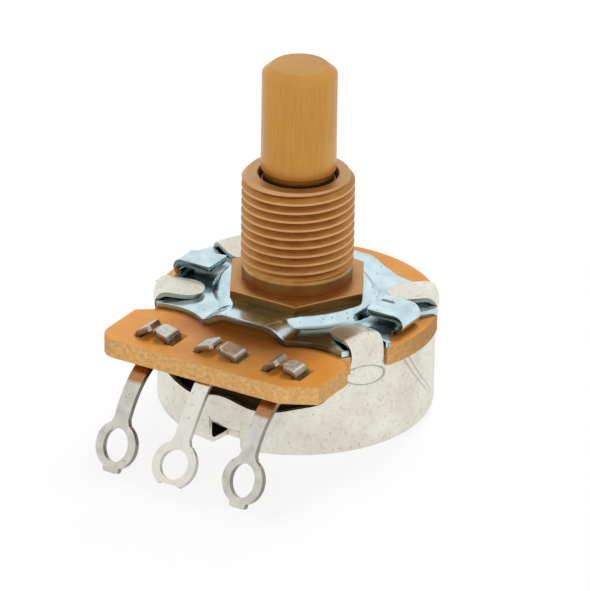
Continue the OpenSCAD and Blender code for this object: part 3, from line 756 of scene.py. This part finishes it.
# %% Mounting plate
SLOT_HALF, SLOT_IN, EAR_R = 1.795, 11.02, 11.9
HOLLOW, HOLLOW_R = (7.10, 12.464), 5
FOLD_X, FOLD_R, FOLD_L, FOLD_HALF = 10.35, 0.625, 2.8, 1.45
PLATE_Z, RISE, STEP_W = -2.025, 0.9, 0.85


def slot_at(degrees, rim):
    """The four corners of a tab's slot, cut in from a round rim"""
    c, s = math.cos(math.radians(degrees)), math.sin(math.radians(degrees))
    out = math.sqrt(rim * rim - SLOT_HALF ** 2)
    flat = (out, -SLOT_HALF), (SLOT_IN, -SLOT_HALF), (SLOT_IN, SLOT_HALF), (out, SLOT_HALF)
    return [(u * c - v * s, u * s + v * c) for u, v in flat]


def angle_of(p):
    return math.degrees(math.atan2(p[1], p[0]))


ear = slot_at(30, EAR_R)
hollow_far = math.hypot(*HOLLOW)
reach = (EAR_R ** 2 + HOLLOW[0] ** 2 + HOLLOW[1] ** 2 - HOLLOW_R ** 2) / (2 * EAR_R * hollow_far)
ear_end = angle_of(HOLLOW) - math.degrees(math.acos(reach))
tip = polar(EAR_R, ear_end)
hollow_start = angle_of((tip[0] - HOLLOW[0], tip[1] - HOLLOW[1]))
tongue = FOLD_X + math.pi * FOLD_R + FOLD_L
quarter = arc(tongue - 0.2, FOLD_HALF - 0.2, 0.2, 0, 90, 4) + [(10.5, FOLD_HALF), (10.5, 2.1)]
quarter += arc(11.12, 4.0, 0.33, -60, 0, 3)
quarter += arc(0, 0, EAR_R, 19.8, angle_of(ear[0]) - 0.5, 2)[1:-1] + ear
quarter += arc(0, 0, EAR_R, angle_of(ear[3]), ear_end, 3)[1:-1]
quarter += arc(*HOLLOW, HOLLOW_R, hollow_start, -126.87, 24) + [(4.1, 8.464)]
plate = sheet("zinc_plate", mirrored(quarter), [circle(0, 0, 4.22, 96)], 0.16)


def uneven(r, a):
    """Turns the front right slot and widens the rear left ear, with angles in degrees"""
    a += 2 * math.exp(-(((a + 30) / 11) ** 4)) * ease((r - 9.2) / 1.5)
    if r > 10.7 and 158 < a < 164:
        a += 5.5 * ease((a - 159.1) / 1.1) * ease((r - 10.7) / 0.4)
    return a


def folded(x, y):
    """A tongue turned back on top: the right one leans, and the left one lies to one side"""
    run = abs(x) - FOLD_X
    turn = min(run / FOLD_R, math.pi)
    far = max(0, run - math.pi * FOLD_R) / FOLD_L
    out, up = FOLD_X + FOLD_R * math.sin(turn) - far * FOLD_L, PLATE_Z + FOLD_R * (1 - math.cos(turn))
    skew = turn / math.pi
    if x > 0:
        out -= skew * 0.11 * y * (0.4 + 0.6 * far)
        return out, y * (1 + 0.08 * skew), up + 0.04 * skew * (y + 1)
    return -out, y - 0.32 * skew - 0.6 * skew * (1 - far) * ease(y / 1.4), up


def pressed(x, y, z):
    """The centre rises within a foot that is wider at the sides, and the bridges cross it"""
    r = math.hypot(x, y)
    x, y = polar(r, uneven(r, angle_of((x, y))))
    if abs(x) > FOLD_X and abs(y) < FOLD_HALF + 0.02:
        return folded(x, y)
    foot = 6.9 + 0.5 * (x / r) ** 8
    centre, bridge = ease((foot - r) / STEP_W), ease((4.15 - abs(x)) / 2.1)
    return x, y, PLATE_Z + RISE * (1 - (1 - centre) * (1 - bridge))


reshape(plate, pressed)
thicken(plate, 0.55, 0.06)
dress(plate, zinc, "housing", "zinc_steel", "mounting_plate")

# %% [markdown]
# The terminal board is a punched disc with a wide front. One front corner is
# round and one is cut off. It has a notch for each tab of the can, and six
# slots take the terminals' prongs, each as wide as its prong was found to need.

# %% Terminal board
WAFER_R, NECK, FRONT_X = 12.0, (9.011, -7.925), 10.42
SLOT_FRONT, SLOT_BACK = -13.417, -10.867
outline = [NECK, (FRONT_X, -8.95), (FRONT_X, -13.6), (7.57, -15.15)]
outline += arc(-8.52, -13.25, 1.9, 270, 180, 12) + [(-FRONT_X, -8.95), (-NECK[0], NECK[1])]
notches = [slot_at(at, WAFER_R)[::-1] for at in (-150, 150, 30, -28)]
stations = [(-NECK[0], NECK[1])] + [notch[i] for notch in notches for i in (0, 3)] + [NECK]
stations = [angle_of(p) % 360 for p in stations]
for a0, a1, notch in zip(stations[::2], stations[1::2], [*notches, []]):
    if a1 > a0:
        a1 -= 360
    outline += arc(0, 0, WAFER_R, a0, a1, max(2, int((a0 - a1) / 2)))[1:-1] + notch
spans = [(-7.9, -7.05), (-4.95, -3.95), (-2.07, -1.33), (1.5, 2.4), (4.5, 5.35), (7.45, 8.45)]
slots = [[(x0, SLOT_FRONT), (x1, SLOT_FRONT), (x1, SLOT_BACK), (x0, SLOT_BACK)] for x0, x1 in spans]
board = sheet("amber_board", outline, [circle(0, 0, 5.4, 96), *slots], 0.18)
reshape(board, lambda x, y, z: (x, y, -3.1))
thicken(board, 1.6, 0.07)
dress(board, phenolic, "housing", "phenolic_board", "terminal_board")

# %% [markdown]
# Each terminal is one stamping: a pad under the board, two prongs that go up
# through it and fold over, and a stem that curves down to a solder ring. It
# is cut flat here and bent afterwards, as in the press. The outer two also
# have a finger on the resistance element, the middle one its collector ring.
# The stamp left a nub under each outer ring and a flat with two burrs under
# the middle one.

# %% Terminals
PAD_Z, PAD_FRONT, PAD_BACK, FOLD_Z = -4.15, -13.3, -11.45, -2.2
ROOT, PLAIN, CURL_R, EXIT_R = 1.7, 0.85, 0.3, 1.0
STEM_HALF, RING_R, LUG_X, TO_RING = 0.725, 2.05, 6.2, 1.937
# Where each kind of stem starts, the length of its first bend and that of its long curve
OUTER, MIDDLE = (13.354, 0.419, 5.686), (14.37, 0.768, 4.9)


def terminal_outline(ring_v, reach, inner, nub=0.8):
    """Half outlines joined: ring, stem, pad with prongs, and what lies behind the pad"""
    neck = math.degrees(math.asin(STEM_HALF / RING_R))
    foot = math.degrees(math.asin(nub / RING_R)) if nub else 0
    neck_v = ring_v + RING_R * math.cos(math.radians(neck)) + 0.35
    right = [(STEM_HALF, PAD_FRONT), (STEM_HALF, neck_v)]
    right += arc(0, ring_v, RING_R, 90 - neck - 6, -90 + foot, 30)
    if nub:
        right += arc(nub - 0.3, ring_v - RING_R + 0.02, 0.32, 0, -90, 5)
    else:
        flat = ring_v - 1.68
        burrs = [(1.16, flat), (1.06, flat - 0.14), (0.88, flat - 0.1), (0.8, flat), (0.3, flat)]
        right = [(u, v) for u, v in right if v > flat] + burrs
    end = reach - 0.25
    half = [(end, PAD_BACK), (reach, PAD_BACK - 0.25), (reach, PAD_FRONT + 0.25), (end, PAD_FRONT)]
    half += right
    return half + [(-x, v) for x, v in reversed(half)] + inner


def bent_prong(run, inset, fold):
    """How far out and up a prong is after a way from its root: it turns up, then folds over"""
    corner, rise = CURL_R * math.pi / 2, FOLD_Z - (PAD_Z + CURL_R)
    if run < corner:
        t = run / CURL_R
        return ROOT - inset + CURL_R * math.sin(t), PAD_Z + CURL_R * (1 - math.cos(t))
    run -= corner
    out = ROOT + CURL_R - inset
    if run < rise:
        return out, PAD_Z + CURL_R + run
    run -= rise
    t = min(run / CURL_R, math.radians(fold))
    run -= t * CURL_R
    out, up = out - CURL_R * (1 - math.cos(t)), FOLD_Z + CURL_R * math.sin(t)
    return out - run * math.sin(t), up + run * math.cos(t)


def bent(start, slopes, curve_l, bends, insets, tilt=1, yaw=0.0):
    """Bends a flat terminal, by where the stem starts, its first and last slopes and its curved
    length, the two prongs' folds, how far in they stand, the side of the first one and the
    ring's twist"""
    leave, land = (math.radians(a) for a in slopes)
    r_long = curve_l / (land - leave)

    def place(u, v, _):
        kind, side = int(u * tilt >= 0), math.copysign(1, u)
        if PAD_FRONT - 0.3 < v < PAD_BACK + 0.03:
            if abs(u) > ROOT:
                out, up = bent_prong(abs(u) - ROOT, insets[kind], bends[kind])
                return side * out, v, up
            if abs(u) > PLAIN:
                u = side * (PLAIN + (abs(u) - PLAIN) * (PLAIN - insets[kind]) / PLAIN)
        if v > -start:
            return u, v, PAD_Z
        run = -v - start
        t = min(run / EXIT_R, leave)
        y, z = -start - EXIT_R * math.sin(t), PAD_Z - EXIT_R * (1 - math.cos(t))
        run -= t * EXIT_R
        slope = leave + min(run, curve_l) / r_long
        y -= r_long * (math.sin(slope) - math.sin(leave))
        z -= r_long * (math.cos(leave) - math.cos(slope))
        twist = math.radians(yaw) * ease(run / curve_l)
        run = max(0, run - curve_l)
        y, z = y - run * math.cos(slope), z - run * math.sin(slope)
        aside = u * math.sin(twist)
        return u * math.cos(twist), y - aside * math.sin(slope), z + aside * math.cos(slope)

    return place


outer_v, middle_v = -(sum(OUTER) + TO_RING), -(sum(MIDDLE) + TO_RING)
prong = ROOT + 0.471 + 1.65 + CURL_R * math.radians(64) + 1.2
finger = [(0.7, PAD_BACK), (0.7, -8.7), (2.25, -8.45), (2.25, -10.9), (1.5, -11.2), (1.5, PAD_BACK)]
eye = [(1.25 * c, outer_v + 1.45 * s) for c, s in circle(0, 0, 1, 40)]
left = sheet("lug_left", terminal_outline(outer_v, prong, finger), [eye], 0.125)
only(left)
bpy.ops.object.duplicate()
right = bpy.context.object
right.name = "lug_right"
for lug, side in ((left, 1), (right, -1)):
    reshape(lug, bent(OUTER[0], (24, 67), OUTER[2], (58, 76), (0.75, 0.4), side, 6.5 * side))
    # The finger behind the pad is set down on the element
    reshape(lug, lambda x, y, z: (
        side * (x - LUG_X), y, z - 0.5 * ease((y + 10.35) / 0.4) * (y > -10.4)))
collector = arc(0, 0, 6.65, 261.3, -81.3, 90)
strip = [(-1, PAD_BACK), (-1, -6.57), *collector, (1, -6.57), (1, PAD_BACK)]
flat_lug = terminal_outline(middle_v, prong + 0.2, strip[::-1], 0)
middle = sheet("lug_middle", flat_lug, [circle(0, 0, 5.45, 90), circle(0, middle_v, 1.3, 40)], 0.125)
reshape(middle, bent(MIDDLE[0], (44, 57), MIDDLE[2], (70, 78), (0.3, 0.1)))
for lug, node in ((left, "terminal_left"), (middle, "terminal_middle"), (right, "terminal_right")):
    tidy(lug, 0.001)
    thicken(lug, 0.5, 0.08)
    dress(lug, lug_tin, "housing", "lug_tin", node)

# %% [markdown]
# The can is a drawn cup. Its wall is cut flat with four tabs and a low wavy
# front, then rolled round the axis, and the tabs are bent over the ears. A
# spun corner and floor are merged to the wall. The rotation stop is a strip
# of the corner, cut free at both sides and pushed in.

# %% Can wall
WALL_R, CORNER_Z, FLOOR_Z, TAB_ROOT = 11.49, -10.57, -11.26, -3.9
STOP_Z, STOP_R, STOP_LEFT, STOP_RIGHT = -8.6, 9.0, -7, 8
DEG = WALL_R * math.pi / 180
TAB_TOP, LEAN_TOP, TAB_HALF = -1.1, -2.0, 1.675
TAB_END = LEAN_TOP + 1.72 + 2.9
# How far each tab's bend bulges past the wall, its width there, its slope and its drift, by
# the tab's angle from the front
TABS = {-120: (0.15, 1.0, 8, 0), -60: (0.36, 1.0, 8, 0), 62: (0.3, 0.9, 9, -0.3), 120: (0.3, 1.0, 7, 0)}
# The front's edge, as (angle from the front, height)
WAVE = [
    (-50, TAB_ROOT), (-49.6, -5.6), (-47, -6.5), (-42, -6.85), (-34.3, -7.07), (-30.5, -7.16),
    (-24.8, -7.26), (-19.9, -7.36), (-15, -7.33), (-9, -6.95), (-4, -6.65), (0.9, -6.64),
    (5.5, -6.87), (10, -7.19), (13.4, -7.33), (19, -7.36), (25.2, -7.22), (28.9, -7.02),
    (32.9, -6.85), (39, -6.65), (43, -6.4), (45.4, -5.6), (46, TAB_ROOT)]
fine = np.linspace(-49.6, 45.4, 96)
soft = np.interp(fine, *zip(*WAVE))
for _ in range(3):
    soft[1:-1] = (soft[:-2] + 2 * soft[1:-1] + soft[2:]) / 4


def tab_outline(at):
    """A tab from its right root to its left one, with a rounded end"""
    c, tip = at * DEG, 2.3 if at == -60 else 1.9
    right = [(c + TAB_HALF, TAB_ROOT)]
    for t in np.radians(np.linspace(0, 90, 13)):
        u, v = TAB_HALF * math.cos(t) ** 0.8, tip * math.sin(t) ** 0.8
        right.append((c + u, TAB_END - tip + v))
    return right + [(2 * c - x, v) for x, v in reversed(right[:-1])]


def unrolled(places):
    """Turns (angle, height) places into flat ones"""
    return [(a * DEG, v) for a, v in places]


wall = unrolled([
    (-180, CORNER_Z), (STOP_LEFT, CORNER_Z), (STOP_LEFT, STOP_Z), (STOP_RIGHT, STOP_Z),
    (STOP_RIGHT, CORNER_Z), (180, CORNER_Z), (180, TAB_ROOT)])
wall += tab_outline(120) + tab_outline(62)
wall += unrolled([WAVE[-1], *zip(fine[::-1], soft[::-1]), WAVE[0]])
wall += tab_outline(-60) + tab_outline(-120) + unrolled([(-180, TAB_ROOT)])
wall_box = [(-180 * DEG, CORNER_Z), (180 * DEG, TAB_END)]
can = sheet("tin_can", wall, (), 0.2, wall_box, (360, 63))


def hollowed(a, z):
    """How deep the dent and the creases are at an angle from the front and a height"""
    depth = 0.08 * math.exp(-(((dent(a, z) - 1) / 0.2) ** 2)) * (z < TAB_ROOT + 0.01)
    for start in CREASES:
        beside, fall = crease(a, z, start)
        depth += 0.05 * math.exp(-((beside / 1.1) ** 2)) * (1 - ease((fall - 3.6) / 1.8))
    return depth


def rolled_up(u, v, _):
    a = u / WALL_R
    at = min(TABS, key=lambda t: abs(t * DEG - u))
    t0, du = math.radians(at), u - at * DEG
    if v > TAB_ROOT + 0.01 and abs(du) < 2.5:
        bulge, waist, slope, drift = TABS[at]
        end = math.radians(90 + slope)
        bend_r = TAB_TOP - LEAN_TOP
        lean = ease((v - TAB_ROOT) / 1.9)
        run = max(0, v - LEAN_TOP)
        t = min(run / bend_r, end)
        run = max(0, run - bend_r * end)
        rho = WALL_R + bulge * lean - bend_r * (1 - math.cos(t)) - run * math.sin(t)
        z = min(v, LEAN_TOP) + bend_r * math.sin(t) + run * math.cos(t)
        middle = math.exp(-(((v + 2.2) / 1.1) ** 2))
        side = du * (1 - (1 - waist) * middle) + drift * ease((v - TAB_ROOT) / 3.5)
        sag = WALL_R * (1 - math.cos(du / WALL_R)) * (1 - lean)
        crown = 0.16 * (du / TAB_HALF) ** 2
        out, z = rho - sag - crown * math.cos(t) * lean, z - crown * math.sin(t)
        return out * math.sin(t0) + side * math.cos(t0), side * math.sin(t0) - out * math.cos(t0), z
    r = WALL_R - hollowed(math.degrees(a), v)
    return r * math.sin(a), -r * math.cos(a), v


reshape(can, rolled_up)

# %% Can floor and stop
CORNER_R, STOP_SAG = 0.69, 1.45
floor_section = [(r, FLOOR_Z) for r in (0, 2, 4, 6, 8, STOP_R, 10)]
floor_section += arc(WALL_R - CORNER_R, CORNER_Z, CORNER_R, -90, 0, 6)
cup = turned("cup", floor_section, 360)


def turn_of(p):
    """The angle from the front, in degrees"""
    return math.degrees(math.atan2(p.x, -p.y))


def under_stop(face):
    m = face.calc_center_median() / MM
    return math.hypot(m.x, m.y) > STOP_R and STOP_LEFT < turn_of(m) < STOP_RIGHT


edit(cup, "FACE")
print("faces cut out for the stop", pick(under_stop, "FACE"))
bpy.ops.mesh.delete(type="FACE")
fresh()
cup.select_set(True)
can.select_set(True)
bpy.context.view_layer.objects.active = can
bpy.ops.object.join()
tidy(can, 0.02)
edit(can, "EDGE")


def stop_edge(edge):
    """The edges above and below the gap that the stop fills"""
    ends = [v.co / MM for v in edge.verts]
    m = (ends[0] + ends[1]) / 2
    low = STOP_LEFT - 0.2 < turn_of(m) < STOP_RIGHT + 0.2 and abs(ends[0].z - ends[1].z) < 0.01
    at_ends = abs(m.z - STOP_Z) < 0.1 or abs(math.hypot(m.x, m.y) - STOP_R) < 0.1
    return edge.is_boundary and low and at_ends


print("edges of the stop", pick(stop_edge, "EDGE"))
bpy.ops.mesh.bridge_edge_loops(number_cuts=14)
tidy(can, 0.001)


def pushed_in(x, y, z):
    """The stop goes in at a low slope first, then steeply down to the floor"""
    r, a = math.hypot(x, y), turn_of(Vector((x, y)))
    t = (WALL_R - r) / (WALL_R - STOP_R)
    bridged = 0.01 < t < 0.99 and abs(z - (STOP_Z + t * (FLOOR_Z - STOP_Z))) < 0.12
    if bridged and STOP_LEFT - 0.3 < a < STOP_RIGHT + 0.3:
        angle = math.pi / 2 * t
        r1 = WALL_R - (WALL_R - STOP_R) * math.sin(angle) ** 0.9
        drop = (STOP_Z - FLOOR_Z - STOP_SAG) * (1 - math.cos(angle)) ** 2
        return x * r1 / r, y * r1 / r, STOP_Z - STOP_SAG * math.sin(angle) - drop
    return x, y, z


reshape(can, pushed_in)
thicken(can, 0.42, 0.1, 3)
dress(can, tin, "housing", "tin_steel", "can")

# %% [markdown]
# The part lies on the tips of its lugs and the far edge of its can, so the
# floor leans by 1.4 degrees against it. The background is plain white, for
# the camera and for what the metal mirrors, and the floor keeps the shadow.

# %% Floor and world
FLOOR_LEAN, FLOOR_AT, GLOW, DIM = math.radians(1.42), -0.01176, 0.87, 0.32
fresh()
bpy.ops.mesh.primitive_plane_add(size=4, location=(0, 0, FLOOR_AT), rotation=(FLOOR_LEAN, 0, 0))
floor = bpy.context.object
floor.name = "floor"
paper = Finish("floor", Base_Color=(0.9, 0.9, 0.9, 1), Roughness=0.9)
camera_ray = paper.node("ShaderNodeLightPath", output="Is Camera Ray")
mirror_ray = paper.node("ShaderNodeLightPath", output="Is Glossy Ray")
white = paper.node("ShaderNodeEmission", sockets={"Color": (1, 1, 1, 1), "Strength": 1.0})
matt = Wire(paper.tree, paper.shader.outputs[0])
glow = (camera_ray + mirror_ray).clamped() * GLOW
mixed = paper.node("ShaderNodeMixShader", sockets={0: glow, 1: matt, 2: white})
paper.tree.links.new(mixed.socket, paper.tree.nodes["Material Output"].inputs["Surface"])
floor.data.materials.append(paper.material)
world = bpy.data.worlds.new("studio")
scene.world = world
world.use_nodes = True
tree = world.node_tree
rays = tree.nodes.new("ShaderNodeLightPath").outputs
camera_ray, mirror_ray, clear_ray = [
    Wire(tree, rays[f"Is {kind} Ray"]) for kind in ("Camera", "Glossy", "Transmission")]
strength = DIM + (1 - DIM) * (camera_ray + mirror_ray + clear_ray).clamped()
tree.links.new(strength.socket, tree.nodes["Background"].inputs["Strength"])
tree.nodes["Background"].inputs["Color"].default_value = (1, 1, 1, 1)
print("floor leans by", round(math.degrees(FLOOR_LEAN), 2), "degrees")

# %% Lamps
LAMPS = ("key", (-0.05, 0.33, 0.5), 0.25, 3.0), ("fill", (0.25, -0.5, 0.22), 0.4, 1.6)
for name, place, size, power in LAMPS:
    fresh()
    bpy.ops.object.light_add(type="AREA", location=place)
    lamp = bpy.context.object
    lamp.name = name
    lamp.data.size = size
    lamp.data.energy = power
    lamp.visible_glossy = False
    lamp.rotation_euler = (-Vector(place)).to_track_quat("-Z", "Y").to_euler()
    print(name, "lamp of", power, "W")

# %% Finish
fresh()
